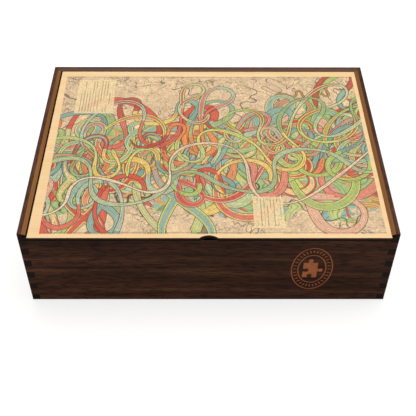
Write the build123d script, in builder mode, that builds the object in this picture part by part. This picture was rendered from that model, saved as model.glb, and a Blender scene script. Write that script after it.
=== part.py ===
"""A jigsaw puzzle in its stained wooden box, with a printed lid that slides out at the front.

X runs across the box, Y to the back and Z up, in millimetres. The origin is on the surface
that the box stands on, at the middle of its outline with the lid shut.
"""

import os
from math import atan2, ceil, cos, degrees, pi, sin, sqrt

from build123d import *

# Box
box_width = 340.0
box_depth = 252.0
box_height = 93.5
side_board = 7.5
front_board = 7.5
back_board = 6.3
finger_height = 8.2
joint_gap = 0.1
rim_bevel_width = 3.5
rim_bevel_drop = 1.3

# Bottom, a panel held in a groove all round
bottom_thickness = 4.0
bottom_recess = 5.0
bottom_tongue = 3.5
bottom_clearance = 0.1

# Lid, a printed face glued to a wider panel whose edges run in the side boards
lid_recess = 1.6
print_thickness = 1.5
panel_thickness = 2.5
lid_overhang = 3.0
tongue_width = 3.2
groove_depth = 4.0
groove_floor_clearance = 0.15
groove_roof_clearance = 0.3
lid_gap_left = 1.6
lid_gap_right = 0.15
lid_gap_back = 0.3
notch_width = 17.0
notch_depth = 3.3
scoop_width = 34.0
scoop_depth = 2.2
scoop_length = 5.0

# Mark engraved in the front board: two oval rings, a round of ticks and a jigsaw piece
mark_width = 39.0
mark_height = 59.0
mark_from_middle = 96.0
mark_centre_height = 45.5
mark_inner_width = 27.0
mark_inner_height = 40.0
mark_line = 1.1
mark_tick_length = 3.2
mark_tick_count = 32
mark_piece_width = 13.5
mark_piece_height = 21.0
mark_piece_offset = 1.6
mark_piece_scale = 0.62
mark_knob_radius = 3.8
engraving_depth = 0.3

# Jigsaw, cut in layers that lie on each other in the box
columns = 12
rows = 9
layers = 3
piece_thickness = 4.0
layer_gap = 0.05
pieces_margin = 1.5
half_kerf = 0.15
knob_radius = 3.4
knob_offset = 4.6
neck_fillet = 1.6
knob_wander = 1.4
knob_size_change = 0.35

# Pieces of the top layer that are loose: name, column and row, counted from the left front corner
loose_pieces = {
    "loose_corner_piece": (columns - 1, rows - 1),
    "loose_edge_piece": (3, 0),
    "loose_middle_piece": (columns // 2, rows // 2),
}

# Places worked out from the sizes
half_width = box_width / 2
inner_half_width = half_width - side_board
front_face = (lid_overhang - box_depth) / 2
back_face = front_face + box_depth
inner_front = front_face + front_board
inner_back = back_face - back_board

lid_top = box_height - lid_recess
panel_top = lid_top - print_thickness
panel_bottom = panel_top - panel_thickness
groove_floor = panel_bottom - groove_floor_clearance
groove_roof = panel_top + groove_roof_clearance
front_top = groove_floor
lid_left = -inner_half_width + lid_gap_left
lid_right = inner_half_width - lid_gap_right
lid_front = front_face - lid_overhang
lid_back = inner_back - lid_gap_back

bottom_top = bottom_recess + bottom_thickness

finger_levels = range(1, ceil(box_height / finger_height), 2)
front_levels = [n for n in finger_levels if (n + 1) * finger_height <= front_top]


def block(x_range, y_range, z_range, mode=Mode.ADD):
    """Adds a box between two places along each axis to the part being built."""
    size = [high - low for low, high in (x_range, y_range, z_range)]
    middle = [(high + low) / 2 for low, high in (x_range, y_range, z_range)]
    with Locations(tuple(middle)):
        Box(*size, mode=mode)


def finger(level, x_range, y_range, top):
    """Adds one finger, short of its socket by the joint gap."""
    low = level * finger_height + joint_gap / 2
    high = min((level + 1) * finger_height - joint_gap / 2, top)
    block(x_range, y_range, (low, high))


def socket(level, x_range, y_range):
    """Cuts the socket of one finger through the board."""
    low = level * finger_height
    block(x_range, y_range, (low, low + finger_height), Mode.SUBTRACT)


def arc_radius(width, depth):
    """Radius of the circle whose cap has this width and depth."""
    return ((width / 2) ** 2 + depth**2) / (2 * depth)


def save(part, name):
    part.label = name
    export_step(part, f"parts/{name}.step")


os.makedirs("parts", exist_ok=True)

# The bevel is a wide shallow funnel over the opening, so it meets in a mitre at the back corners
bevel_foot = box_height - rim_bevel_drop
with BuildPart() as bevel_cut:
    for level, spread in ((bevel_foot, 0), (box_height, rim_bevel_width)):
        with BuildSketch(Plane.XY.offset(level)):
            with BuildLine():
                Polyline(
                    (-inner_half_width - spread, lid_front),
                    (inner_half_width + spread, lid_front),
                    (inner_half_width + spread, inner_back + spread),
                    (-inner_half_width - spread, inner_back + spread),
                    close=True,
                )
            make_face()
    loft()

# The room that the bottom panel takes in the four boards
room_half_width = inner_half_width + bottom_tongue + bottom_clearance
with BuildPart() as bottom_room:
    block(
        (-room_half_width, room_half_width),
        (inner_front - bottom_tongue - bottom_clearance, inner_back + bottom_tongue + bottom_clearance),
        (bottom_recess - bottom_clearance, bottom_top + bottom_clearance),
    )

with BuildPart() as bottom_panel:
    block(
        (-inner_half_width - bottom_tongue, inner_half_width + bottom_tongue),
        (inner_front - bottom_tongue, inner_back + bottom_tongue),
        (bottom_recess, bottom_top),
    )
save(bottom_panel.part, "bottom_panel")

# Each side board has a groove for the lid, open at the front end, under a bevelled lip
for side_name, sign in (("left_wall", -1), ("right_wall", 1)):
    board_x = sorted((sign * half_width, sign * inner_half_width))
    groove_x = sorted((sign * (inner_half_width + groove_depth), sign * inner_half_width))
    with BuildPart() as side_wall:
        block(board_x, (front_face, back_face), (0, box_height))
        for level in front_levels:
            socket(level, board_x, (front_face, inner_front))
        for level in finger_levels:
            socket(level, board_x, (inner_back, back_face))
        block(groove_x, (front_face, inner_back), (groove_floor, groove_roof), Mode.SUBTRACT)
        add(bevel_cut.part, mode=Mode.SUBTRACT)
        add(bottom_room.part, mode=Mode.SUBTRACT)
    save(side_wall.part, side_name)

with BuildPart() as back_wall:
    block((-inner_half_width, inner_half_width), (inner_back, back_face), (0, box_height))
    for level in finger_levels:
        finger(level, (-half_width, -inner_half_width), (inner_back, back_face), box_height)
        finger(level, (inner_half_width, half_width), (inner_back, back_face), box_height)
    add(bevel_cut.part, mode=Mode.SUBTRACT)
    add(bottom_room.part, mode=Mode.SUBTRACT)
save(back_wall.part, "back_wall")


def jigsaw_side(start, end, knob, kerf):
    """Draws one side of a piece, run anticlockwise, drawn in by half the saw cut.

    A knob is (how far it is off the middle, 1 if it stands out or -1 if it is a hollow, its
    radius). Two fillets lead from the side into the neck, each tangent to the side and the knob.
    """
    along = (end - start).normalized()
    outward = Vector(along.Y, -along.X)
    first = start + along * kerf - outward * kerf
    last = end - along * kerf - outward * kerf
    if knob is None:
        Line(first, last)
        return
    shift, reach, radius = knob
    middle = (start + end) * 0.5 + along * shift
    head = middle + outward * (reach * knob_offset)
    head_radius = radius - reach * kerf
    fillet_radius = neck_fillet + reach * kerf
    spread = sqrt((radius + neck_fillet) ** 2 - (knob_offset - neck_fillet) ** 2)
    feet = []
    bends = []
    touches = []
    for step in (-spread, spread):
        centre = middle + along * step + outward * (reach * neck_fillet)
        to_head = (head - centre).normalized()
        feet.append(middle + along * step - outward * kerf)
        bends.append(centre + (to_head - outward * reach).normalized() * fillet_radius)
        touches.append(centre + to_head * fillet_radius)
    Line(first, feet[0])
    ThreePointArc(feet[0], bends[0], touches[0])
    ThreePointArc(touches[0], head + outward * (reach * head_radius), touches[1])
    ThreePointArc(touches[1], bends[1], feet[1])
    Line(feet[1], last)


def piece_outline(low, high, knobs, kerf):
    """Draws a piece between two corners; the knobs are those of its front, right, back and left."""
    corners = [Vector(low[0], low[1]), Vector(high[0], low[1]), Vector(high[0], high[1]), Vector(low[0], high[1])]
    for number, knob in enumerate(knobs):
        jigsaw_side(corners[number], corners[(number + 1) % 4], knob, kerf)


# The mark's jigsaw piece, drawn at the size of a real one and scaled down
with BuildSketch() as mark_piece:
    with BuildLine():
        drawn_x = mark_piece_width / mark_piece_scale / 2
        drawn_y = mark_piece_height / mark_piece_scale / 2
        hollow = (0, -1, mark_knob_radius)
        knob = (0, 1, mark_knob_radius)
        piece_outline((-drawn_x, -drawn_y), (drawn_x, drawn_y), (hollow, knob, knob, hollow), 0)
    make_face()
    scale(by=mark_piece_scale)

# The front board ends under the lid, with a scoop for the fingertip beneath the lid's notch
mark_place = Plane(
    origin=(mark_from_middle, front_face, mark_centre_height), x_dir=(1, 0, 0), z_dir=(0, -1, 0)
)
ticks_x = (mark_width + mark_inner_width) / 4 - mark_line / 2
ticks_y = (mark_height + mark_inner_height) / 4 - mark_line / 2
scoop_radius = arc_radius(scoop_width, scoop_depth)
with BuildPart() as front_wall:
    block((-inner_half_width, inner_half_width), (front_face, inner_front), (0, front_top))
    for level in front_levels:
        finger(level, (-half_width, -inner_half_width), (front_face, inner_front), front_top)
        finger(level, (inner_half_width, half_width), (front_face, inner_front), front_top)
    add(bottom_room.part, mode=Mode.SUBTRACT)
    with BuildSketch(Plane.XZ.offset(-front_face)):
        with Locations((0, front_top - scoop_depth + scoop_radius)):
            Circle(scoop_radius)
    extrude(amount=-scoop_length, mode=Mode.SUBTRACT)
    with BuildSketch(mark_place):
        for ring_width, ring_height in ((mark_width, mark_height), (mark_inner_width, mark_inner_height)):
            Ellipse(ring_width / 2, ring_height / 2)
            Ellipse(ring_width / 2 - mark_line, ring_height / 2 - mark_line, mode=Mode.SUBTRACT)
        for number in range(mark_tick_count):
            turn = 2 * pi * number / mark_tick_count
            outward = degrees(atan2(sin(turn) / ticks_y, cos(turn) / ticks_x))
            with Locations((ticks_x * cos(turn), ticks_y * sin(turn))):
                Rectangle(mark_tick_length, mark_line, rotation=outward)
        with Locations((-mark_piece_offset, -mark_piece_offset)):
            add(mark_piece.sketch)
    extrude(amount=-engraving_depth, mode=Mode.SUBTRACT)
save(front_wall.part, "front_wall")

# Lid: both layers have the same thumb notch in the front edge
notch_radius = arc_radius(notch_width, notch_depth)
lid_layers = (
    ("lid_panel", tongue_width, panel_bottom, panel_top),
    ("lid_print", 0, panel_top, lid_top),
)
for layer_name, spread, layer_low, layer_high in lid_layers:
    with BuildPart() as lid_layer:
        block((lid_left - spread, lid_right + spread), (lid_front, lid_back), (layer_low, layer_high))
        with BuildSketch(Plane.XY.offset(layer_low)):
            with Locations((0, lid_front + notch_depth - notch_radius)):
                Circle(notch_radius)
        extrude(amount=layer_high - layer_low, mode=Mode.SUBTRACT)
    save(lid_layer.part, layer_name)

# Jigsaw
pitch_x = (2 * inner_half_width - 2 * pieces_margin) / columns
pitch_y = (inner_back - inner_front - 2 * pieces_margin) / rows
pieces_left = -inner_half_width + pieces_margin
pieces_front = inner_front + pieces_margin


def seam_knob(column, row, phase):
    """The knob on the seam beyond this piece: the cut wanders a little from piece to piece."""
    wander = knob_wander * sin(2.9 * column + 4.3 * row + phase)
    radius = knob_radius + knob_size_change * cos(3.7 * column + 1.9 * row + phase)
    reach = 1 if sin(5.1 * column + 7.7 * row + 2 * phase) > -0.2 else -1
    return wander, reach, radius


def mirrored(knob):
    """The same knob as the neighbour sees it."""
    shift, reach, radius = knob
    return -shift, -reach, radius


def draw_piece(column, row):
    """Draws the outline of one piece, whose outer sides are straight along the puzzle's edge."""
    x_low = pieces_left + column * pitch_x
    y_low = pieces_front + row * pitch_y
    right = seam_knob(column, row, 0) if column < columns - 1 else None
    left = mirrored(seam_knob(column - 1, row, 0)) if column > 0 else None
    back = seam_knob(column, row, 1) if row < rows - 1 else None
    front = mirrored(seam_knob(column, row - 1, 1)) if row > 0 else None
    piece_outline((x_low, y_low), (x_low + pitch_x, y_low + pitch_y), (front, right, back, left), half_kerf)


for layer in range(layers):
    layer_bottom = bottom_top + layer_gap + layer * (piece_thickness + layer_gap)
    loose_here = set(loose_pieces.values()) if layer == layers - 1 else set()
    for row in range(rows):
        with BuildPart() as piece_row:
            with BuildSketch(Plane.XY.offset(layer_bottom)):
                for column in range(columns):
                    if (column, row) not in loose_here:
                        with BuildLine():
                            draw_piece(column, row)
                        make_face()
            extrude(amount=piece_thickness)
        save(piece_row.part, f"puzzle_layer_{layer + 1}_row_{row + 1}")

for piece_name, (column, row) in loose_pieces.items():
    with BuildPart() as loose_piece:
        with BuildSketch(Plane.XY.offset(layer_bottom)):
            with BuildLine():
                draw_piece(column, row)
            make_face()
        extrude(amount=piece_thickness)
    save(loose_piece.part, piece_name)
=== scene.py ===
"""Looks of the boxed jigsaw puzzle: a stained walnut box, its printed sliding lid and the pieces inside."""

import random
from math import cos, pi, radians, sin

import bmesh
import bpy
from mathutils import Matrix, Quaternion, Vector
from mathutils.kdtree import KDTree


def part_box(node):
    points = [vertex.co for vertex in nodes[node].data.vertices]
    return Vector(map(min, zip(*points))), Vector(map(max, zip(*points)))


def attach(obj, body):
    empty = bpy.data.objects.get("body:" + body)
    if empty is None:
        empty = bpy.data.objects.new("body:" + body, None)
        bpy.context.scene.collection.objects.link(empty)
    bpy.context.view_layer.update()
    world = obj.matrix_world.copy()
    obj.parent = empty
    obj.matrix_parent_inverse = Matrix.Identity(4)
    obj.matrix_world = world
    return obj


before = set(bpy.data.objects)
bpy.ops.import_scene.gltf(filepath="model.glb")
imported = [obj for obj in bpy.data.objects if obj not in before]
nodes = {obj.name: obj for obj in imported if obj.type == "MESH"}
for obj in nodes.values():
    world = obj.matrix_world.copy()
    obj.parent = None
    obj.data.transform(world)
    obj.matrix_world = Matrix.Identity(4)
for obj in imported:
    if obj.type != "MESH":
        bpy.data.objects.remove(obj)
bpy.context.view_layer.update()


# --- Studio -------------------------------------------------------------------------------------
# A pale seamless floor under a wide soft light, with a weak fill in front and a weak light from the
# right. The camera looks down at the front with a long lens.

def linear(hex_colour, alpha=1.0):
    """An sRGB colour such as "#aabbcc" as the linear RGBA that Blender's sockets take."""
    values = []
    for place in (1, 3, 5):
        value = int(hex_colour[place:place + 2], 16) / 255
        values.append(value / 12.92 if value <= 0.04045 else ((value + 0.055) / 1.055) ** 2.4)
    return (*values, alpha)


def add_node(tree, kind, inputs=None, **settings):
    """Adds a node; each input is a socket to link from or a value to set."""
    new = tree.nodes.new(kind)
    for key, value in settings.items():
        setattr(new, key, value)
    for key, value in (inputs or {}).items():
        if isinstance(value, bpy.types.NodeSocket):
            tree.links.new(value, new.inputs[key])
        else:
            new.inputs[key].default_value = value
    return new


def start_material(name):
    """A new material with an empty tree and its output node."""
    material = bpy.data.materials.new(name)
    material.use_nodes = True
    material.node_tree.nodes.clear()
    output = material.node_tree.nodes.new("ShaderNodeOutputMaterial")
    return material, material.node_tree, output


MM = 0.001
FRONT_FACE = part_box("front_wall")[0].y
camera_data = bpy.data.cameras.new("camera")
camera_data.lens = 66.1
camera_data.sensor_width = 36.0
camera_data.clip_end = 20.0
camera = bpy.data.objects.new("camera", camera_data)
camera.location = (-0.00435, FRONT_FACE - 0.45529, 0.59275)
pitch, yaw, roll = radians(45.666), 0.00765, 0.00587
aim = Vector((sin(yaw) * cos(pitch), cos(yaw) * cos(pitch), -sin(pitch)))
camera.rotation_mode = "QUATERNION"
camera.rotation_quaternion = aim.to_track_quat("-Z", "Y") @ Quaternion((0, 0, 1), roll)
bpy.context.scene.collection.objects.link(camera)
bpy.context.scene.camera = camera
bpy.context.scene.view_settings.view_transform = "Standard"

FLOOR_RADIUS = 6.0
FLOOR_DROP = 0.2 * MM
floor_mesh = bpy.data.meshes.new("floor")
floor_shape = bmesh.new()
bmesh.ops.create_circle(floor_shape, cap_ends=True, segments=96, radius=FLOOR_RADIUS)
floor_shape.to_mesh(floor_mesh)
floor_shape.free()
floor = bpy.data.objects.new("floor", floor_mesh)
floor.location = (0, 0, -FLOOR_DROP)
bpy.context.scene.collection.objects.link(floor)
floor_paint, tree, output = start_material("pale_studio_floor")
paper_sweep = add_node(tree, "ShaderNodeBsdfDiffuse", {"Color": linear("#a9a8a6")})
glow = add_node(tree, "ShaderNodeEmission", {"Color": linear("#ffffff"), "Strength": 0.72})
lit_sweep = add_node(tree, "ShaderNodeAddShader", {0: paper_sweep.outputs[0], 1: glow.outputs[0]})
# The sweep is lit from behind: it looks white but throws little light back on the box
seen = add_node(tree, "ShaderNodeLightPath").outputs["Is Camera Ray"]
shader = add_node(tree, "ShaderNodeMixShader",
                  {0: seen, 1: paper_sweep.outputs[0], 2: lit_sweep.outputs[0]})
tree.links.new(shader.outputs[0], output.inputs[0])
floor_mesh.materials.append(floor_paint)

lamps = (
    # name, place, aim, width, height, watts
    ("overhead_softbox", (0.05, 0.35, 1.7), (0, 0, 0), 1.8, 1.4, 24),
    ("front_fill", (-0.3, -1.9, 1.1), (0, 0, 0.05), 1.4, 0.9, 5),
    ("right_rim", (1.6, 0.2, 0.9), (0, 0, 0.05), 0.7, 1.2, 6),
)
for lamp_name, place, aim, width, height, watts in lamps:
    lamp_data = bpy.data.lights.new(lamp_name, "AREA")
    lamp_data.shape = "RECTANGLE"
    lamp_data.size = width
    lamp_data.size_y = height
    lamp_data.energy = watts
    lamp = bpy.data.objects.new(lamp_name, lamp_data)
    lamp.location = place
    lamp.rotation_mode = "QUATERNION"
    lamp.rotation_quaternion = (Vector(aim) - Vector(place)).to_track_quat("-Z", "Y")
    bpy.context.scene.collection.objects.link(lamp)
world = bpy.data.worlds.new("studio")
world.use_nodes = True
world.node_tree.nodes.clear()
soft_light = add_node(world.node_tree, "ShaderNodeBackground",
                      {"Color": linear("#fbfbfa"), "Strength": 0.35})
white_wall = add_node(world.node_tree, "ShaderNodeBackground",
                      {"Color": linear("#ffffff"), "Strength": 1.0})
looked_at = add_node(world.node_tree, "ShaderNodeLightPath").outputs["Is Camera Ray"]
around = add_node(world.node_tree, "ShaderNodeMixShader",
                  {0: looked_at, 1: soft_light.outputs[0], 2: white_wall.outputs[0]})
add_node(world.node_tree, "ShaderNodeOutputWorld", {0: around.outputs[0]})
bpy.context.scene.world = world


# --- Box boards ---------------------------------------------------------------------------------
# Four walnut boards, planed and sanded, stained dark and rubbed with a satin oil. The grain runs
# along each board; the finger joints show end grain, which drinks the stain and turns darker.


def stained_walnut(name, along, bevel_colour):
    """Walnut under a dark stain. `along` is 0 for grain along X and 1 for grain along Y.

    The satin oil leaves little film, so the wood keeps its depth and shines only weakly.
    """
    material, tree, output = start_material(name)
    place = add_node(tree, "ShaderNodeTexCoord").outputs["Object"]
    normal = add_node(tree, "ShaderNodeTexCoord").outputs["Normal"]
    # Grain is noise drawn out along the board, in bands of about 6 mm. Walnut's pores are 0.2 mm
    # wide; they are drawn about 0.6 mm wide and 6 mm long so that they show.
    grain = []
    for across_grain, along_grain, detail, roughness, distortion in (
        (12 * MM, 220 * MM, 6.0, 0.62, 0.5),
        (1.3 * MM, 12 * MM, 3.0, 0.6, 0.0),
        (3 * MM, 120 * MM, 4.0, 0.6, 0.3),
    ):
        lengths = [across_grain, across_grain, across_grain]
        lengths[along] = along_grain
        drawn_out = add_node(tree, "ShaderNodeMapping", {
            "Vector": place, "Scale": [1 / length for length in lengths]})
        grain.append(add_node(tree, "ShaderNodeTexNoise", {
            "Vector": drawn_out.outputs[0], "Scale": 1.0, "Detail": detail, "Roughness": roughness,
            "Distortion": distortion}))
    bands, pores, streaks = grain
    tone = add_node(tree, "ShaderNodeValToRGB", {"Fac": bands.outputs[0]})
    tone.color_ramp.elements[0].position = 0.28
    tone.color_ramp.elements[0].color = linear("#372016")
    tone.color_ramp.elements[1].position = 0.72
    tone.color_ramp.elements[1].color = linear("#6f4732")
    middle = tone.color_ramp.elements.new(0.5)
    middle.color = linear("#503123")
    streak_fall = add_node(tree, "ShaderNodeMapRange", {
        "Value": streaks.outputs[0], "From Min": 0.35, "From Max": 0.65, "To Min": 0.8, "To Max": 1.2})
    streaked = add_node(tree, "ShaderNodeMix", {0: 1.0, 6: tone.outputs[0], 7: streak_fall.outputs[0]},
                        data_type="RGBA", blend_type="MULTIPLY")
    pore_fall = add_node(tree, "ShaderNodeMapRange", {
        "Value": pores.outputs[0], "From Min": 0.38, "From Max": 0.52, "To Min": 0.42, "To Max": 1.09})
    face = add_node(tree, "ShaderNodeMix", {0: 1.0, 6: streaked.outputs[2], 7: pore_fall.outputs[0]},
                    data_type="RGBA", blend_type="MULTIPLY")
    # End grain: the faces that look along the board
    parts = add_node(tree, "ShaderNodeSeparateXYZ", {0: normal})
    facing = add_node(tree, "ShaderNodeMath", {0: parts.outputs[along]}, operation="ABSOLUTE")
    is_end = add_node(tree, "ShaderNodeMath", {0: facing.outputs[0], 1: 0.8}, operation="GREATER_THAN")
    specks = add_node(tree, "ShaderNodeTexNoise", {"Vector": place, "Scale": 1 / (0.7 * MM), "Detail": 2.0})
    end_tone = add_node(tree, "ShaderNodeValToRGB", {"Fac": specks.outputs[0]})
    end_tone.color_ramp.elements[0].position = 0.35
    end_tone.color_ramp.elements[0].color = linear("#150d0a")
    end_tone.color_ramp.elements[1].position = 0.7
    end_tone.color_ramp.elements[1].color = linear("#33221b")
    ended = add_node(tree, "ShaderNodeMix",
                     {0: is_end.outputs[0], 6: face.outputs[2], 7: end_tone.outputs[0]}, data_type="RGBA")
    # The bevel round the opening was cut after staining and shows warmer wood
    above_slope = add_node(tree, "ShaderNodeMath", {0: parts.outputs[2], 1: 0.85}, operation="GREATER_THAN")
    below_flat = add_node(tree, "ShaderNodeMath", {0: parts.outputs[2], 1: 0.98}, operation="LESS_THAN")
    is_bevel = add_node(tree, "ShaderNodeMath", {0: above_slope.outputs[0], 1: below_flat.outputs[0]},
                        operation="MULTIPLY")
    warm = add_node(tree, "ShaderNodeMix", {0: 1.0, 6: linear(bevel_colour), 7: streak_fall.outputs[0]},
                    data_type="RGBA", blend_type="MULTIPLY")
    bevelled = add_node(tree, "ShaderNodeMix",
                        {0: is_bevel.outputs[0], 6: ended.outputs[2], 7: warm.outputs[2]}, data_type="RGBA")
    # Painted highlight: the colour is lightened along the edges, where the bevel normal turns away from the
    # face, for light caught on the rounded edges
    rounded = add_node(tree, "ShaderNodeBevel", {"Radius": 0.5 * MM}, samples=4)
    flat = add_node(tree, "ShaderNodeNewGeometry").outputs["True Normal"]
    agree = add_node(tree, "ShaderNodeVectorMath", {0: rounded.outputs[0], 1: flat},
                     operation="DOT_PRODUCT")
    edge = add_node(tree, "ShaderNodeMapRange", {
        "Value": agree.outputs["Value"], "From Min": 0.99, "From Max": 0.8, "To Min": 0.0, "To Max": 0.4})
    edge_highlighted = add_node(tree, "ShaderNodeMix",
                    {0: edge.outputs[0], 6: bevelled.outputs[2], 7: linear("#8a5f45")}, data_type="RGBA")
    rough = add_node(tree, "ShaderNodeMapRange", {
        "Value": streaks.outputs[0], "To Min": 0.42, "To Max": 0.62})
    bump = add_node(tree, "ShaderNodeBump", {"Height": pore_fall.outputs[0], "Normal": rounded.outputs[0],
                                             "Strength": 0.35, "Distance": 0.15 * MM})
    shader = add_node(tree, "ShaderNodeBsdfPrincipled", {
        "Base Color": edge_highlighted.outputs[2], "Roughness": rough.outputs[0], "Normal": bump.outputs[0],
        "IOR": 1.5, "Specular IOR Level": 0.12})
    tree.links.new(shader.outputs[0], output.inputs[0])
    return material, tree, edge_highlighted, shader


walnut_across = stained_walnut("stained_walnut_across", 0, "#5d4436")[0]
walnut_deep = stained_walnut("stained_walnut_deep", 1, "#825328")[0]
for wall_name, walnut in (
    ("back_wall", walnut_across),
    ("left_wall", walnut_deep),
    ("right_wall", walnut_deep),
):
    nodes[wall_name].material_slots[0].material = walnut

# The mark is burnt through the stain with a laser, so its floor shows toasted bare wood
MARK_LEFT = 70 * MM
MARK_RIGHT = 120 * MM
BURN_START = 0.1 * MM
BURN_END = 0.5 * MM
TOAST_GRAIN = 3 * MM
walnut_front, tree, wood_colour, wood_shader = stained_walnut("stained_walnut_front", 0, "#5d4436")
place = add_node(tree, "ShaderNodeTexCoord").outputs["Object"]
place_parts = add_node(tree, "ShaderNodeSeparateXYZ", {0: place})
behind_face = add_node(tree, "ShaderNodeMath", {0: place_parts.outputs[1], 1: FRONT_FACE + BURN_START},
                       operation="GREATER_THAN")
before_back = add_node(tree, "ShaderNodeMath", {0: place_parts.outputs[1], 1: FRONT_FACE + BURN_END},
                       operation="LESS_THAN")
right_part = add_node(tree, "ShaderNodeMath", {0: place_parts.outputs[0], 1: MARK_LEFT},
                      operation="GREATER_THAN")
burnt_zone = add_node(tree, "ShaderNodeMath", {0: behind_face.outputs[0], 1: before_back.outputs[0]},
                      operation="MULTIPLY")
in_mark_x = add_node(tree, "ShaderNodeMath", {0: place_parts.outputs[0], 1: MARK_RIGHT},
                     operation="LESS_THAN")
mark_x = add_node(tree, "ShaderNodeMath", {0: right_part.outputs[0], 1: in_mark_x.outputs[0]},
                  operation="MULTIPLY")
in_mark = add_node(tree, "ShaderNodeMath", {0: burnt_zone.outputs[0], 1: mark_x.outputs[0]},
                   operation="MULTIPLY")
toast = add_node(tree, "ShaderNodeTexNoise", {"Vector": place, "Scale": 1 / TOAST_GRAIN, "Detail": 3.0})
copper = add_node(tree, "ShaderNodeValToRGB", {"Fac": toast.outputs[0]})
copper.color_ramp.elements[0].color = linear("#a9592f")
copper.color_ramp.elements[1].color = linear("#dc8a5a")
marked = add_node(tree, "ShaderNodeMix",
                  {0: in_mark.outputs[0], 6: wood_colour.outputs[2], 7: copper.outputs[0]},
                  data_type="RGBA")
# The top faces of the fingertip scoop in its top edge are painted near black: painted shade for the deep
# shade under the lid's notch
SCOOP_DEPTH = 2.6 * MM
SCOOP_HALF_WIDTH = 17.5 * MM
scoop_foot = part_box("front_wall")[1].z - SCOOP_DEPTH
facing = add_node(tree, "ShaderNodeSeparateXYZ", {0: add_node(tree, "ShaderNodeTexCoord").outputs["Normal"]})
looks_up = add_node(tree, "ShaderNodeMath", {0: facing.outputs[2], 1: 0.5}, operation="GREATER_THAN")
near_top = add_node(tree, "ShaderNodeMath", {0: place_parts.outputs[2], 1: scoop_foot},
                    operation="GREATER_THAN")
near_middle = add_node(tree, "ShaderNodeMath", {0: place_parts.outputs[0], 1: 0.0, 2: SCOOP_HALF_WIDTH},
                       operation="COMPARE")
in_top = add_node(tree, "ShaderNodeMath", {0: looks_up.outputs[0], 1: near_top.outputs[0]},
                  operation="MULTIPLY")
in_scoop = add_node(tree, "ShaderNodeMath", {0: in_top.outputs[0], 1: near_middle.outputs[0]},
                    operation="MULTIPLY")
scoop_shaded = add_node(tree, "ShaderNodeMix",
                    {0: in_scoop.outputs[0], 6: marked.outputs[2], 7: linear("#090504")}, data_type="RGBA")
tree.links.new(scoop_shaded.outputs[2], wood_shader.inputs["Base Color"])
nodes["front_wall"].material_slots[0].material = walnut_front


# --- Bottom panel -------------------------------------------------------------------------------
# A loose panel of 4 mm birch plywood, sanded and left bare, so it is pale and quite matte. Its edges
# sit in a groove in the four boards and hold it without glue.


def birch(name, light, dark, edge_light, edge_dark, roughness):
    """Birch plywood: a pale rotary-cut face, its grain along X, and the banded layers of its edge."""
    material, tree, output = start_material(name)
    place = add_node(tree, "ShaderNodeTexCoord").outputs["Object"]
    normal = add_node(tree, "ShaderNodeTexCoord").outputs["Normal"]
    # The figure's noise has cells of 9 mm by 160 mm. Birch fibre is finer than 0.1 mm; its noise has
    # cells of 0.9 mm by 20 mm so that it shows.
    stretched = add_node(tree, "ShaderNodeMapping", {
        "Vector": place, "Scale": (1 / (160 * MM), 1 / (9 * MM), 1 / (9 * MM))})
    figure = add_node(tree, "ShaderNodeTexNoise", {
        "Vector": stretched.outputs[0], "Scale": 1.0, "Detail": 5.0, "Distortion": 0.4})
    fine_map = add_node(tree, "ShaderNodeMapping", {
        "Vector": place, "Scale": (1 / (20 * MM), 1 / (0.9 * MM), 1 / (0.9 * MM))})
    fine = add_node(tree, "ShaderNodeTexNoise", {"Vector": fine_map.outputs[0], "Scale": 1.0, "Detail": 2.0})
    face = add_node(tree, "ShaderNodeValToRGB", {"Fac": figure.outputs[0]})
    face.color_ramp.elements[0].position = 0.3
    face.color_ramp.elements[0].color = linear(dark)
    face.color_ramp.elements[1].position = 0.7
    face.color_ramp.elements[1].color = linear(light)
    fibre = add_node(tree, "ShaderNodeMapRange", {
        "Value": fine.outputs[0], "From Min": 0.35, "From Max": 0.6, "To Min": 0.94, "To Max": 1.02})
    face_tone = add_node(tree, "ShaderNodeMix", {0: 1.0, 6: face.outputs[0], 7: fibre.outputs[0]},
                         data_type="RGBA", blend_type="MULTIPLY")
    layers_map = add_node(tree, "ShaderNodeMapping", {
        "Vector": place, "Scale": (1 / (50 * MM), 1 / (50 * MM), 1 / (0.9 * MM))})
    ply = add_node(tree, "ShaderNodeTexNoise", {"Vector": layers_map.outputs[0], "Scale": 1.0, "Detail": 3.0})
    edge = add_node(tree, "ShaderNodeValToRGB", {"Fac": ply.outputs[0]})
    edge.color_ramp.elements[0].position = 0.35
    edge.color_ramp.elements[0].color = linear(edge_dark)
    edge.color_ramp.elements[1].position = 0.65
    edge.color_ramp.elements[1].color = linear(edge_light)
    upright = add_node(tree, "ShaderNodeSeparateXYZ", {0: normal})
    level = add_node(tree, "ShaderNodeMath", {0: upright.outputs[2]}, operation="ABSOLUTE")
    is_face = add_node(tree, "ShaderNodeMath", {0: level.outputs[0], 1: 0.5}, operation="GREATER_THAN")
    tone = add_node(tree, "ShaderNodeMix",
                    {0: is_face.outputs[0], 6: edge.outputs[0], 7: face_tone.outputs[2]}, data_type="RGBA")
    bump = add_node(tree, "ShaderNodeBump", {
        "Height": fine.outputs[0], "Strength": 0.12, "Distance": 0.1 * MM})
    shader = add_node(tree, "ShaderNodeBsdfPrincipled", {
        "Base Color": tone.outputs[2], "Roughness": roughness, "Normal": bump.outputs[0], "IOR": 1.5})
    tree.links.new(shader.outputs[0], output.inputs[0])
    return material, tree, tone, shader


nodes["bottom_panel"].material_slots[0].material = birch(
    "bare_birch_plywood", "#e3c79b", "#cfa876", "#b98f62", "#7d5836", 0.75)[0]


# --- Lid panel ----------------------------------------------------------------------------------
# The lower layer of the lid: 2.5 mm birch plywood, stained nearly black with a spirit stain. It is
# wider than the face, so its edges run in the grooves; only its front edge and the notch floor show.

stained_ply, tree, tone, shader = birch(
    "stained_lid_plywood", "#1c110b", "#0f0806", "#2b170e", "#0c0604", 0.7)
# The spirit stain soaks in and leaves no film, so the panel hardly shines
shader.inputs["Specular IOR Level"].default_value = 0.15
nodes["lid_panel"].material_slots[0].material = stained_ply


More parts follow.
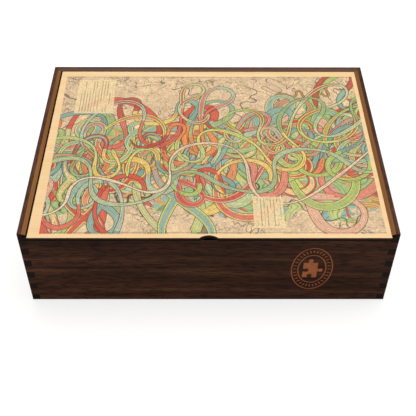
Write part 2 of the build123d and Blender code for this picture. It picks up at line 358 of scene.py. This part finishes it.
# --- Lid face -----------------------------------------------------------------------------------
# The upper layer: 1.5 mm of pale birch plywood with a satin surface, fixed on the panel. It is cut
# with a laser, so the edges and the thumb notch are browned.

nodes["lid_print"].material_slots[0].material = birch(
    "lid_face_birch", "#f2cf9c", "#ecc389", "#6b452b", "#2a170c", 0.55)[0]


# --- Printed picture ----------------------------------------------------------------------------
# A flat-bed print on the lid: an invented survey map of a river's old courses, in thin inks on a
# toned ground. The mesh stores, at each point, the colour of the nearest part of each course and how
# far outside that course's bank the point lies.

random.seed(23)
LEFT_BORDER_FRONT = 10.2 * MM
LEFT_BORDER_BACK = 6.3 * MM
RIGHT_BORDER = 4.2 * MM
FRONT_BORDER = 5.0 * MM
BACK_BORDER = 9.0 * MM
CELL = 0.9 * MM
PRINT_LIFT = 0.03 * MM
PRINT_SINK = 0.02 * MM
lid_low, lid_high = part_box("lid_print")
sheet_low = Vector((lid_low.x + LEFT_BORDER_FRONT, lid_low.y + FRONT_BORDER))
sheet_high = Vector((lid_high.x - RIGHT_BORDER, lid_high.y - BACK_BORDER))
size = sheet_high - sheet_low
middle = (sheet_high + sheet_low) / 2
picture_mesh = bpy.data.meshes.new("lid_picture")
shape = bmesh.new()
bmesh.ops.create_grid(shape, x_segments=round(size.x / CELL), y_segments=round(size.y / CELL), size=0.5)
bmesh.ops.scale(shape, vec=(size.x, size.y, 1), verts=shape.verts)
bmesh.ops.translate(shape, vec=(middle.x, middle.y, lid_high.z + PRINT_LIFT), verts=shape.verts)
# The sheet's left edge slants: its border is narrower at the back
for corner in shape.verts:
    leftness = (sheet_high.x - corner.co.x) / size.x
    depth = (corner.co.y - sheet_low.y) / size.y
    corner.co.x -= leftness * depth * (LEFT_BORDER_FRONT - LEFT_BORDER_BACK)
rim = [edge for edge in shape.edges if edge.is_boundary]
grown = bmesh.ops.extrude_edge_only(shape, edges=rim)
skirt = [item for item in grown["geom"] if isinstance(item, bmesh.types.BMVert)]
bmesh.ops.translate(shape, vec=(0, 0, -PRINT_LIFT - PRINT_SINK), verts=skirt)
lower_rim = [edge for edge in shape.edges if edge.is_boundary]
bmesh.ops.contextual_create(shape, geom=lower_rim)
bmesh.ops.recalc_face_normals(shape, faces=shape.faces)
shape.to_mesh(picture_mesh)
shape.free()
picture = bpy.data.objects.new("lid_picture", picture_mesh)
bpy.context.scene.collection.objects.link(picture)
corners = [Vector(v.co) for v in picture_mesh.vertices]

INK_COLOURS = ("#b2c468", "#c3cb95", "#9db074", "#8cae9b", "#b3c1a2", "#cfd06e", "#7fa293", "#c6c87e",
               "#d84b35", "#e28570", "#bd4634", "#e6b090", "#ea8a4a", "#ecc86a", "#de6a55", "#c9c586")
STEP = 0.9 * MM


def belt_middle(x):
    """The middle of the belt that the river wanders in, at this place across the sheet."""
    share = (x - sheet_low.x) / size.x
    return sheet_low.y + size.y * (0.31 + 0.19 * share + 0.05 * sin(5.2 * share + 0.6))


def river(wavelength, swing, half_width, aside, colours, lost):
    """A course across the sheet as (x, y, half width, colour), swinging like a pendulum as it flows.

    Each bend takes the next of its colours. A share `lost` of the bends was washed away.
    """
    points = []
    x = sheet_low.x - 30 * MM
    sway = drift = run = 0.0
    phase = random.uniform(0, 2 * pi)
    bend = int(phase / pi + 0.5)
    colour = linear(random.choice(colours))
    kept = True
    width = 0.0
    while x < sheet_high.x + 25 * MM and run < 3.5:
        stretch = 1 + 0.4 * sin(1.7 * run / wavelength + swing * 9)
        phase += 2 * pi * STEP / (wavelength * stretch)
        wobble = 0.22 * sin(2.3 * phase + 7 * swing) + 0.3 * sin(0.37 * phase + 3 * swing)
        heading = swing * (sin(phase) + wobble) - 5 * drift
        x += STEP * cos(heading)
        sway += STEP * sin(heading)
        drift += (sway - drift) * STEP / wavelength
        run += STEP
        if int(phase / pi + 0.5) > bend:
            bend = int(phase / pi + 0.5)
            colour = linear(random.choice(colours))
            kept = random.random() > lost
        target = half_width * (1 + 0.3 * sin(2.6 * phase)) if kept else -1.5 * MM
        width += (target - width) * STEP / (7 * MM)
        points.append((x, belt_middle(x) + aside + sway, width, colour))
    return points


def brook(x, y, heading, wavelength, length, half_width, colour):
    """A small stream beside the belt, with tight bends."""
    points = []
    phase = random.uniform(0, 2 * pi)
    for number in range(int(length / STEP)):
        phase += 2 * pi * STEP / (wavelength * (1 + 0.4 * sin(0.13 * number)))
        turn = heading + 1.3 * sin(phase) + 0.5 * sin(0.31 * phase)
        x += STEP * cos(turn)
        y += STEP * sin(turn)
        if not (sheet_low.x < x < sheet_high.x and sheet_low.y < y < sheet_high.y - BACK_MARGIN):
            break
        points.append((x, y, half_width, linear(colour)))
    return points


layers = []
OLD_COURSES = 19
for number in range(OLD_COURSES):
    age = 1 - number / OLD_COURSES
    layers.append(river(random.uniform(120, 190 + 150 * age) * MM, random.uniform(1.45, 1.95),
                        (1.9 + 2.4 * age) * MM, random.gauss(0, 26) * MM, INK_COLOURS, 0.2))
BACK_MARGIN = 5 * MM
brook_places = (
    # start across and into the sheet as shares of it, heading in degrees, bend length, half width,
    # colour
    (0.93, 0.93, 195, 34 * MM, 1.2 * MM, "#b8843f"),
    (0.62, 0.93, 250, 30 * MM, 0.3 * MM, "#a5672c"),
    (0.05, 0.12, 20, 40 * MM, 0.7 * MM, "#9a3f30"),
    (0.36, 0.90, 300, 34 * MM, 0.3 * MM, "#7c7560"),
    (0.95, 0.10, 160, 38 * MM, 0.3 * MM, "#7c7560"),
    (0.50, 0.09, 40, 26 * MM, 0.6 * MM, "#9a3f30"),
)
brooks = []
for share_x, share_y, heading, bend_length, half_width, ink in brook_places:
    start_x = sheet_low.x + share_x * size.x
    start_y = sheet_low.y + share_y * size.y
    length = random.uniform(110, 170) * MM
    brooks += brook(start_x, start_y, radians(heading), bend_length, length, half_width, ink)
layers.insert(0, brooks)
layers.append(river(240 * MM, 1.0, 2.4 * MM, 4 * MM, ("#b1bd8c", "#a4b588", "#b6c096"), 0.0))
layers.append(river(210 * MM, 1.15, 1.6 * MM, -6 * MM, ("#ecd0ac", "#e9c6a2"), 0.0))

for number, points in enumerate(layers):
    finder = KDTree(len(points))
    for index, (x, y, width, colour) in enumerate(points):
        finder.insert((x, y, 0), index)
    finder.balance()
    values = []
    for corner in corners:
        _, index, distance = finder.find((corner.x, corner.y, 0))
        colour = points[index][3]
        values.extend((colour[0], colour[1], colour[2], (distance - points[index][2]) / MM))
    stored = picture_mesh.attributes.new(f"course_{number}", "FLOAT_COLOR", "POINT")
    stored.data.foreach_set("color", values)
# How far outside the belt each point lies, in mm; the belt widens to the right
BELT_HALF_WIDTH = 48
BELT_GROWTH = 34
belt = [(abs(c.y - belt_middle(c.x)) / MM - BELT_HALF_WIDTH - BELT_GROWTH * (c.x - sheet_low.x) / size.x)
        for c in corners]
picture_mesh.attributes.new("belt", "FLOAT", "POINT").data.foreach_set("value", belt)


def survey_paper(tree, place):
    """The printed ground of the map: toned paper, relief contours and a web of small streams."""
    mottle = add_node(tree, "ShaderNodeTexNoise", {"Vector": place, "Scale": 1 / (14 * MM), "Detail": 6.0,
                                                  "Roughness": 0.7})
    paper = add_node(tree, "ShaderNodeValToRGB", {"Fac": mottle.outputs[0]})
    paper.color_ramp.elements[0].position = 0.35
    paper.color_ramp.elements[0].color = linear("#cfb48c")
    paper.color_ramp.elements[1].position = 0.68
    paper.color_ramp.elements[1].color = linear("#f2d4a2")
    blush = paper.color_ramp.elements.new(0.52)
    blush.color = linear("#e4c29b")
    relief = add_node(tree, "ShaderNodeTexNoise", {"Vector": place, "Scale": 1 / (38 * MM), "Detail": 4.0,
                                                  "Roughness": 0.55, "Distortion": 0.9})
    colour = paper.outputs[0]
    # Contours stand about 2 mm apart, with every fifth one heavier
    for count, share, strength in ((30.0, 0.2, 0.34), (6.0, 0.07, 0.5)):
        steps = add_node(tree, "ShaderNodeMath", {0: relief.outputs[0], 1: count}, operation="MULTIPLY")
        saw = add_node(tree, "ShaderNodeMath", {0: steps.outputs[0]}, operation="FRACT")
        on_line = add_node(tree, "ShaderNodeMath", {0: saw.outputs[0], 1: share}, operation="LESS_THAN")
        ink = add_node(tree, "ShaderNodeMath", {0: on_line.outputs[0], 1: strength}, operation="MULTIPLY")
        colour = add_node(tree, "ShaderNodeMix", {0: ink.outputs[0], 6: colour, 7: linear("#7c7560")},
                          data_type="RGBA").outputs[2]
    push = add_node(tree, "ShaderNodeTexNoise", {"Vector": place, "Scale": 1 / (7 * MM), "Detail": 3.0})
    pushed = add_node(tree, "ShaderNodeMix", {0: 0.02, 4: place, 5: push.outputs["Color"]},
                      data_type="VECTOR")
    web = add_node(tree, "ShaderNodeTexVoronoi", {"Vector": pushed.outputs[1], "Scale": 1 / (17 * MM)},
                   feature="DISTANCE_TO_EDGE")
    stream = add_node(tree, "ShaderNodeMath", {0: web.outputs[0], 1: 0.024}, operation="LESS_THAN")
    where = add_node(tree, "ShaderNodeTexNoise", {"Vector": place, "Scale": 1 / (45 * MM), "Detail": 2.0})
    present = add_node(tree, "ShaderNodeMapRange", {
        "Value": where.outputs[0], "From Min": 0.45, "From Max": 0.56, "To Max": 0.6})
    stream_ink = add_node(tree, "ShaderNodeMath", {0: stream.outputs[0], 1: present.outputs[0]},
                          operation="MULTIPLY")
    colour = add_node(tree, "ShaderNodeMix", {0: stream_ink.outputs[0], 6: colour, 7: linear("#4f4a3e")},
                      data_type="RGBA").outputs[2]
    # An old road winds over the land as one level line of a rougher field
    moved = add_node(tree, "ShaderNodeMapping", {"Vector": place, "Location": (2750 * MM, 0, 0)})
    land = add_node(tree, "ShaderNodeTexNoise", {
        "Vector": moved.outputs[0], "Scale": 1 / (58 * MM), "Detail": 2.5, "Roughness": 0.55,
        "Distortion": 1.1})
    winding = add_node(tree, "ShaderNodeMath", {0: land.outputs[0], 1: 0.5, 2: 0.005}, operation="COMPARE")
    wound = add_node(tree, "ShaderNodeMath", {0: winding.outputs[0], 1: 0.7}, operation="MULTIPLY")
    return add_node(tree, "ShaderNodeMix", {0: wound.outputs[0], 6: colour, 7: linear("#4a4638")},
                    data_type="RGBA").outputs[2]


def silted_ground(tree, place, colour, where):
    """Bands of soft colour between the courses: the level bands of smooth noise fields."""
    bands = (
        # shift in mm, size in mm, half width of the band, colour
        (130, 80, 0.07, "#b3c499"), (410, 60, 0.05, "#d69c84"), (770, 70, 0.05, "#93b0a0"),
        (1130, 55, 0.045, "#c3c980"), (1490, 64, 0.03, "#c96a55"), (1910, 58, 0.045, "#a3b878"),
        (2330, 52, 0.025, "#deab66"),
    )
    for shift, grain, half_band, hex_colour in bands:
        moved = add_node(tree, "ShaderNodeMapping", {"Vector": place, "Location": (shift * MM, 0, 0)})
        field = add_node(tree, "ShaderNodeTexNoise", {"Vector": moved.outputs[0], "Scale": 1 / (grain * MM),
                                                     "Detail": 1.0, "Distortion": 0.5})
        level = add_node(tree, "ShaderNodeMath", {0: field.outputs[0], 1: 0.5}, operation="SUBTRACT")
        height = add_node(tree, "ShaderNodeMath", {0: level.outputs[0]}, operation="ABSOLUTE")
        inside = add_node(tree, "ShaderNodeMath", {0: height.outputs[0], 1: half_band}, operation="LESS_THAN")
        filled = add_node(tree, "ShaderNodeMath", {0: inside.outputs[0], 1: where}, operation="MULTIPLY")
        toned = add_node(tree, "ShaderNodeMix", {0: filled.outputs[0], 6: colour, 7: linear(hex_colour)},
                         data_type="RGBA")
        flow = add_node(tree, "ShaderNodeMath", {0: height.outputs[0], 1: half_band / 3.0},
                        operation="PINGPONG")
        line = add_node(tree, "ShaderNodeMath", {0: flow.outputs[0], 1: 0.0035}, operation="LESS_THAN")
        inked = add_node(tree, "ShaderNodeMath", {0: line.outputs[0], 1: filled.outputs[0]},
                         operation="MULTIPLY")
        faint = add_node(tree, "ShaderNodeMath", {0: inked.outputs[0], 1: 0.5}, operation="MULTIPLY")
        colour = add_node(tree, "ShaderNodeMix",
                          {0: faint.outputs[0], 6: toned.outputs[2], 7: linear("#5d5641")},
                          data_type="RGBA").outputs[2]
    return colour


# Thin flat-bed inks cured on sanded birch: strong flat colours with a low, even sheen
picture_print, tree, output = start_material("flatbed_print_on_birch")
place = add_node(tree, "ShaderNodeTexCoord").outputs["Object"]
colour = survey_paper(tree, place)
belt_depth = add_node(tree, "ShaderNodeAttribute", attribute_name="belt").outputs["Fac"]
ragged = add_node(tree, "ShaderNodeTexNoise", {"Vector": place, "Scale": 1 / (25 * MM), "Detail": 2.0})
# The belt's outer edge wanders by up to 45 mm
raggedness = add_node(tree, "ShaderNodeMath", {0: ragged.outputs[0], 1: 90.0, 2: -45.0},
                      operation="MULTIPLY_ADD")
belt_edge = add_node(tree, "ShaderNodeMath", {0: belt_depth, 1: raggedness.outputs[0]}, operation="ADD")
in_belt = add_node(tree, "ShaderNodeMath", {0: belt_edge.outputs[0], 1: 0.0}, operation="LESS_THAN")
colour = silted_ground(tree, place, colour, in_belt.outputs[0])
hatch = add_node(tree, "ShaderNodeTexNoise", {"Vector": place, "Scale": 1 / (2.2 * MM), "Detail": 2.0})
fleck = add_node(tree, "ShaderNodeMapRange", {"Value": hatch.outputs[0], "From Min": 0.38, "From Max": 0.62,
                                              "To Min": 0.86, "To Max": 1.06})
CORE_COLOURS = ("#cf4f3a", None, "#e6c98a", "#a9ba6a", None, "#d9705c", "#8fae9c", None, "#e38a4f")
wash = add_node(tree, "ShaderNodeMapRange", {"Value": hatch.outputs[0], "From Min": 0.4, "From Max": 0.6,
                                             "To Min": 0.78, "To Max": 0.98})
# Lines and cores of the courses, in mm as the mesh stores them. The real lines are finer than 0.2 mm
# and are drawn wider so that they show.
CORE_INSET = 1.7
FLOW_SPACING = 1.7
FLOW_LINE_HALF = 0.17
SHORE_LINE_HALF = 0.4
for number in range(len(layers)):
    course = add_node(tree, "ShaderNodeAttribute", attribute_name=f"course_{number}")
    edge = course.outputs["Alpha"]
    inside = add_node(tree, "ShaderNodeMath", {0: edge, 1: 0.0}, operation="LESS_THAN")
    fill = course.outputs["Color"]
    core_colour = CORE_COLOURS[number % len(CORE_COLOURS)]
    if core_colour and number < OLD_COURSES:
        in_core = add_node(tree, "ShaderNodeMath", {0: edge, 1: -CORE_INSET}, operation="LESS_THAN")
        fill = add_node(tree, "ShaderNodeMix", {0: in_core.outputs[0], 6: fill, 7: linear(core_colour)},
                        data_type="RGBA").outputs[2]
    # The inks are thin, so older courses show faintly through
    share = add_node(tree, "ShaderNodeMath", {0: inside.outputs[0], 1: wash.outputs[0]}, operation="MULTIPLY")
    filled = add_node(tree, "ShaderNodeMix", {0: share.outputs[0], 6: colour, 7: fill}, data_type="RGBA")
    # Fine flow lines run inside the course, and a heavier line along its shore
    flow = add_node(tree, "ShaderNodeMath", {0: edge, 1: FLOW_SPACING / 2}, operation="PINGPONG")
    flow_line = add_node(tree, "ShaderNodeMath", {0: flow.outputs[0], 1: FLOW_LINE_HALF},
                         operation="LESS_THAN")
    flow_ink = add_node(tree, "ShaderNodeMath", {0: flow_line.outputs[0], 1: inside.outputs[0]},
                        operation="MULTIPLY")
    shore = add_node(tree, "ShaderNodeMath", {0: edge, 1: 0.0, 2: SHORE_LINE_HALF}, operation="COMPARE")
    faint = add_node(tree, "ShaderNodeMath", {0: flow_ink.outputs[0], 1: 0.42}, operation="MULTIPLY")
    strong = add_node(tree, "ShaderNodeMath", {0: shore.outputs[0], 1: 0.8}, operation="MULTIPLY")
    ink = add_node(tree, "ShaderNodeMath", {0: faint.outputs[0], 1: strong.outputs[0]}, operation="MAXIMUM")
    colour = add_node(tree, "ShaderNodeMix", {0: ink.outputs[0], 6: filled.outputs[2], 7: linear("#473f2f")},
                      data_type="RGBA").outputs[2]
# Two blank title panels with ruled lines, and a thin frame line along the front and the back
across = add_node(tree, "ShaderNodeSeparateXYZ", {0: place})
ruled = add_node(tree, "ShaderNodeMath", {0: across.outputs[0], 1: 1.5 * MM}, operation="PINGPONG")
rule = add_node(tree, "ShaderNodeMath", {0: ruled.outputs[0], 1: 0.45 * MM}, operation="LESS_THAN")
broken_map = add_node(tree, "ShaderNodeMapping", {
    "Vector": place, "Scale": (1 / (3 * MM), 1 / (40 * MM), 0)})
broken = add_node(tree, "ShaderNodeTexNoise", {"Vector": broken_map.outputs[0], "Scale": 1.0, "Detail": 2.0})
kept_rule = add_node(tree, "ShaderNodeMath", {0: broken.outputs[0], 1: 0.47}, operation="GREATER_THAN")
rule_ink = add_node(tree, "ShaderNodeMath", {0: rule.outputs[0], 1: kept_rule.outputs[0]},
                    operation="MULTIPLY")
panels = (
    # place across and into the sheet, and half width and half depth, as shares of the sheet
    (0.10, 0.85, 0.065, 0.125),
    (0.665, 0.115, 0.045, 0.085),
)
for share_x, share_y, half_x, half_y in panels:
    panel_x = sheet_low.x + share_x * size.x
    panel_y = sheet_low.y + share_y * size.y
    masks = []
    for inset in (0, 2.5 * MM):
        in_x = add_node(tree, "ShaderNodeMath",
                        {0: across.outputs[0], 1: panel_x, 2: half_x * size.x - inset}, operation="COMPARE")
        in_y = add_node(tree, "ShaderNodeMath",
                        {0: across.outputs[1], 1: panel_y, 2: half_y * size.y - inset}, operation="COMPARE")
        masks.append(add_node(tree, "ShaderNodeMath", {0: in_x.outputs[0], 1: in_y.outputs[0]},
                              operation="MULTIPLY").outputs[0])
    cleared = add_node(tree, "ShaderNodeMath", {0: masks[0], 1: 0.8}, operation="MULTIPLY")
    blank = add_node(tree, "ShaderNodeMix", {0: cleared.outputs[0], 6: colour, 7: linear("#efd2a0")},
                     data_type="RGBA")
    lines = add_node(tree, "ShaderNodeMath", {0: masks[1], 1: rule_ink.outputs[0]}, operation="MULTIPLY")
    soft_lines = add_node(tree, "ShaderNodeMath", {0: lines.outputs[0], 1: 0.55}, operation="MULTIPLY")
    colour = add_node(tree, "ShaderNodeMix",
                      {0: soft_lines.outputs[0], 6: blank.outputs[2], 7: linear("#5d5641")},
                      data_type="RGBA").outputs[2]
for frame_y in (sheet_low.y + 1.6 * MM, sheet_high.y - 1.6 * MM):
    frame_line = add_node(tree, "ShaderNodeMath", {0: across.outputs[1], 1: frame_y, 2: 0.35 * MM},
                          operation="COMPARE")
    frame_ink = add_node(tree, "ShaderNodeMath", {0: frame_line.outputs[0], 1: 0.5}, operation="MULTIPLY")
    colour = add_node(tree, "ShaderNodeMix", {0: frame_ink.outputs[0], 6: colour, 7: linear("#5d5641")},
                      data_type="RGBA").outputs[2]
grainy = add_node(tree, "ShaderNodeMix", {0: 1.0, 6: colour, 7: fleck.outputs[0]}, data_type="RGBA",
                  blend_type="MULTIPLY")
shader = add_node(tree, "ShaderNodeBsdfPrincipled", {"Base Color": grainy.outputs[2], "Roughness": 0.5,
                                                     "IOR": 1.5, "Specular IOR Level": 0.3})
tree.links.new(shader.outputs[0], output.inputs[0])
picture_mesh.materials.append(picture_print)
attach(picture, "lid")


# --- Jigsaw pieces ------------------------------------------------------------------------------
# Laser-cut birch plywood pieces with a map ground printed on top before cutting; the beam browns
# their edges. They lie in the box as three assembled layers. The lid's courses don't run over them.

jigsaw_print, tree, tone, shader = birch(
    "printed_jigsaw_plywood", "#ead0a0", "#d9b883", "#7a5232", "#3a2213", 0.55)
place = add_node(tree, "ShaderNodeTexCoord").outputs["Object"]
normal = add_node(tree, "ShaderNodeTexCoord").outputs["Normal"]
upward = add_node(tree, "ShaderNodeSeparateXYZ", {0: normal})
is_top = add_node(tree, "ShaderNodeMath", {0: upward.outputs[2], 1: 0.5}, operation="GREATER_THAN")
printed = silted_ground(tree, place, survey_paper(tree, place), 1.0)
printed_tone = add_node(tree, "ShaderNodeMix", {0: is_top.outputs[0], 6: tone.outputs[2], 7: printed},
                        data_type="RGBA")
# The scorched line beside each cut is really 0.2 mm wide, drawn wider so that it shows
softened = add_node(tree, "ShaderNodeBevel", {"Radius": 0.9 * MM}, samples=6)
flat = add_node(tree, "ShaderNodeNewGeometry").outputs["True Normal"]
agree = add_node(tree, "ShaderNodeVectorMath", {0: softened.outputs[0], 1: flat}, operation="DOT_PRODUCT")
scorch = add_node(tree, "ShaderNodeMapRange", {"Value": agree.outputs["Value"], "From Min": 0.995,
                                               "From Max": 0.85, "To Min": 0.0, "To Max": 0.85})
cut_tone = add_node(tree, "ShaderNodeMix", {0: scorch.outputs[0], 6: printed_tone.outputs[2],
                                            7: linear("#3b2416")}, data_type="RGBA")
tree.links.new(cut_tone.outputs[2], shader.inputs["Base Color"])
for node_name, node in nodes.items():
    if node_name.startswith(("puzzle_layer", "loose_")):
        node.material_slots[0].material = jigsaw_print
